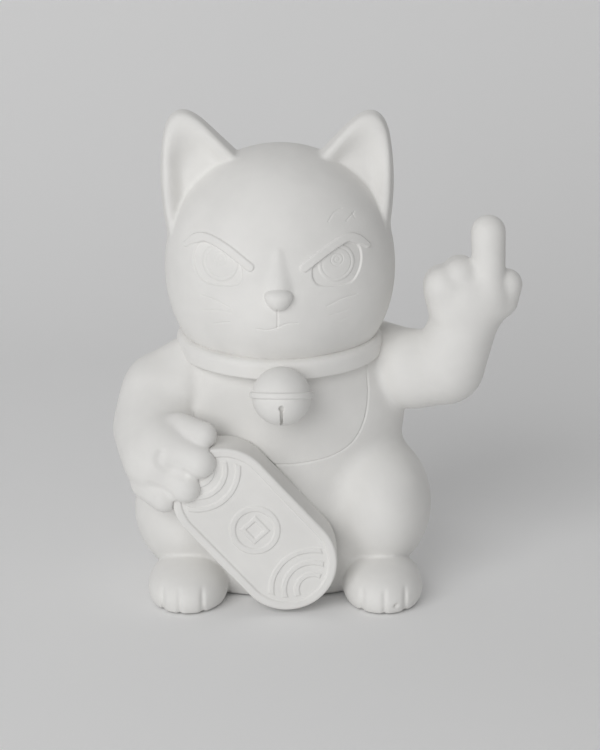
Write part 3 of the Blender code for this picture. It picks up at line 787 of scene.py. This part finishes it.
def finish(name, tone, spread, rough, grain=900.0, tooth=0.10, metallic=0.0):
    """A finish with faint mottling, uneven roughness and a fine tooth, all from noise."""
    material = bpy.data.materials.new(name)
    material.use_nodes = True
    nodes, links = material.node_tree.nodes, material.node_tree.links
    shader = nodes["Principled BSDF"]
    place = nodes.new("ShaderNodeTexCoord")

    def noise(scale, detail):
        node = nodes.new("ShaderNodeTexNoise")
        node.inputs["Scale"].default_value = scale
        node.inputs["Detail"].default_value = detail
        links.new(place.outputs["Object"], node.inputs["Vector"])
        return node.outputs["Fac"]

    colours = nodes.new("ShaderNodeValToRGB")
    dark, light = colours.color_ramp.elements
    dark.position, light.position = 0.35, 0.65
    dark.color = (*[channel * (1 - spread) for channel in tone], 1)
    light.color = (*[channel * (1 + spread) for channel in tone], 1)
    links.new(noise(MOTTLE_SCALE, 3.0), colours.inputs["Fac"])
    links.new(colours.outputs["Color"], shader.inputs["Base Color"])
    uneven = nodes.new("ShaderNodeMapRange")
    uneven.inputs["To Min"].default_value, uneven.inputs["To Max"].default_value = rough
    links.new(noise(PATCH_SCALE, 2.0), uneven.inputs["Value"])
    links.new(uneven.outputs["Result"], shader.inputs["Roughness"])
    bump = nodes.new("ShaderNodeBump")
    bump.inputs["Strength"].default_value = tooth
    bump.inputs["Distance"].default_value = TOOTH_HEIGHT
    links.new(noise(grain, 3.0), bump.inputs["Height"])
    links.new(bump.outputs["Normal"], shader.inputs["Normal"])
    shader.inputs["Metallic"].default_value = metallic
    shader.inputs["Specular IOR Level"].default_value = 0.35
    return material


CAST = finish("cast_white", (0.84, 0.832, 0.812), 0.025, (0.60, 0.74))
PAD = finish("pad_rubber", (0.60, 0.60, 0.58), 0.05, (0.45, 0.60), 700.0, 0.08)
BUNG = finish("stopper_rubber", (0.035, 0.035, 0.036), 0.15, (0.62, 0.82), 500.0, 0.25)
STEEL = finish("pin_steel", (0.62, 0.63, 0.64), 0.03, (0.28, 0.42), 1400.0, 0.12, 1.0)


def dress(piece, *nodes):
    """Gives a cast piece its finish, its body and the CAD nodes that it stands for."""
    piece.data.materials.append(CAST)
    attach(piece, "cat")
    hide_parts(*nodes)


# ------------------------------------------------------------------------------ pieces
head = cast("head", head_field, (-62, -62, 118), (63, 58, 255), 1.15,
            ((near_face, 2.1), (near_face, 0.7)), face_relief)
dress(head, "head_shell")

body = cast("body", body_field, (-88.3, -78, -3), (128, 66, 206), 1.5,
            ((near_fine_body, 2.8), (near_bib, 0.9)), bib_relief)
dress(body, "body_shell", "raised_arm", "holding_arm")

reach = PLAQUE_HALF + PLAQUE_RADIUS + 2
tablet = cast("tablet", plaque_field, (-reach, PLAQUE_FRONT - 3, -PLAQUE_RADIUS - 2),
              (reach, PLAQUE_BACK + 2, PLAQUE_RADIUS + 2), 0.9,
              ((near_plaque_edges, 1.9), (near_plaque_edges, 0.6)), plaque_relief, from_plaque)
dress(tablet, "plaque")

bell = cast("bell_ball", bell_field, (-18, -18, -18), (18, 18, 18), 0.7,
            ((near_bell_details, 1.3), (near_bell_details, 0.2)), place=from_bell)
dress(bell, "bell")

dress(collar_band(), "collar_band")

# The hidden dowels, the pads, the base plate and the bung keep their CAD shapes.
CARRIED = {"base_plate": CAST, "base_stopper": BUNG}
for name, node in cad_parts.items():
    if "_pin" in name:
        CARRIED[name] = STEEL
    if name.startswith("foot_pad"):
        CARRIED[name] = PAD
for name, material in CARRIED.items():
    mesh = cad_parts[name].data
    mesh.materials.clear()
    mesh.materials.append(material)


# ---------------------------------------------------------------- floor, light, camera
FLOOR_FRONT = -1.6                     # metres from here on
FLOOR_BEND = 0.45
BEND_RADIUS = 0.5
WALL_TOP = 2.4
FLOOR_HALF_WIDTH = 2.2
LIGHT_AIM = Vector((0.0, 0.0, 0.12))
LIGHT_PLACE = Vector((-0.92, -1.84, 1.02))
LIGHT_SIZE = 1.6
LIGHT_POWER = 24.3
ROOM_STRENGTH = 0.31
CAMERA_DISTANCE = 1.1
CAMERA_RISE = math.radians(15.0)
CAMERA_TARGET = (10.7, 0.0, 109.0)     # millimetres, figure axes
LENS = 101.5
SENSOR = 36.0


def sweep():
    """A floor that curves up into a backdrop."""
    profile = [(FLOOR_FRONT, 0.0), (FLOOR_BEND, 0.0)]
    for turn in range(1, 13):
        angle = math.radians(turn * 7.5)
        profile.append((FLOOR_BEND + BEND_RADIUS * math.sin(angle),
                        BEND_RADIUS - BEND_RADIUS * math.cos(angle)))
    profile.append((FLOOR_BEND + BEND_RADIUS, WALL_TOP))
    points = []
    for y, z in profile:
        points += [(-FLOOR_HALF_WIDTH, y, z), (FLOOR_HALF_WIDTH, y, z)]
    faces = [(i, i + 1, i + 3, i + 2) for i in range(0, len(points) - 2, 2)]
    mesh = bpy.data.meshes.new("floor_sweep")
    mesh.from_pydata(points, [], faces)
    mesh.shade_smooth()
    floor = bpy.data.objects.new("floor_sweep", mesh)
    bpy.context.scene.collection.objects.link(floor)
    material = bpy.data.materials.new("floor_paper")
    material.use_nodes = True
    shader = material.node_tree.nodes["Principled BSDF"]
    shader.inputs["Base Color"].default_value = (0.94, 0.94, 0.94, 1)
    shader.inputs["Roughness"].default_value = 0.9
    floor.data.materials.append(material)


def area_light(name, place, aim, size, power):
    data = bpy.data.lights.new(name, "AREA")
    data.size = size
    data.energy = power
    light = bpy.data.objects.new(name, data)
    light.location = place
    light.rotation_euler = (aim - place).to_track_quat("-Z", "Y").to_euler()
    bpy.context.scene.collection.objects.link(light)


def soft_room():
    """Even white light from all round."""
    world = bpy.data.worlds.new("soft_room")
    world.use_nodes = True
    background = world.node_tree.nodes["Background"]
    background.inputs["Color"].default_value = (1, 1, 1, 1)
    background.inputs["Strength"].default_value = ROOM_STRENGTH
    bpy.context.scene.world = world


def front_camera():
    """The camera in front of the figure, looking slightly down."""
    target = Vector(to_world(CAMERA_TARGET))
    back = Vector((0, -math.cos(CAMERA_RISE), math.sin(CAMERA_RISE)))
    data = bpy.data.cameras.new("camera")
    data.lens = LENS
    data.sensor_width = SENSOR
    camera = bpy.data.objects.new("camera", data)
    camera.location = target + back * CAMERA_DISTANCE
    camera.rotation_euler = (-back).to_track_quat("-Z", "Y").to_euler()
    bpy.context.scene.collection.objects.link(camera)
    bpy.context.scene.camera = camera


sweep()
area_light("key", LIGHT_PLACE, LIGHT_AIM, LIGHT_SIZE, LIGHT_POWER)
soft_room()
front_camera()
bpy.context.scene.view_settings.view_transform = "Standard"
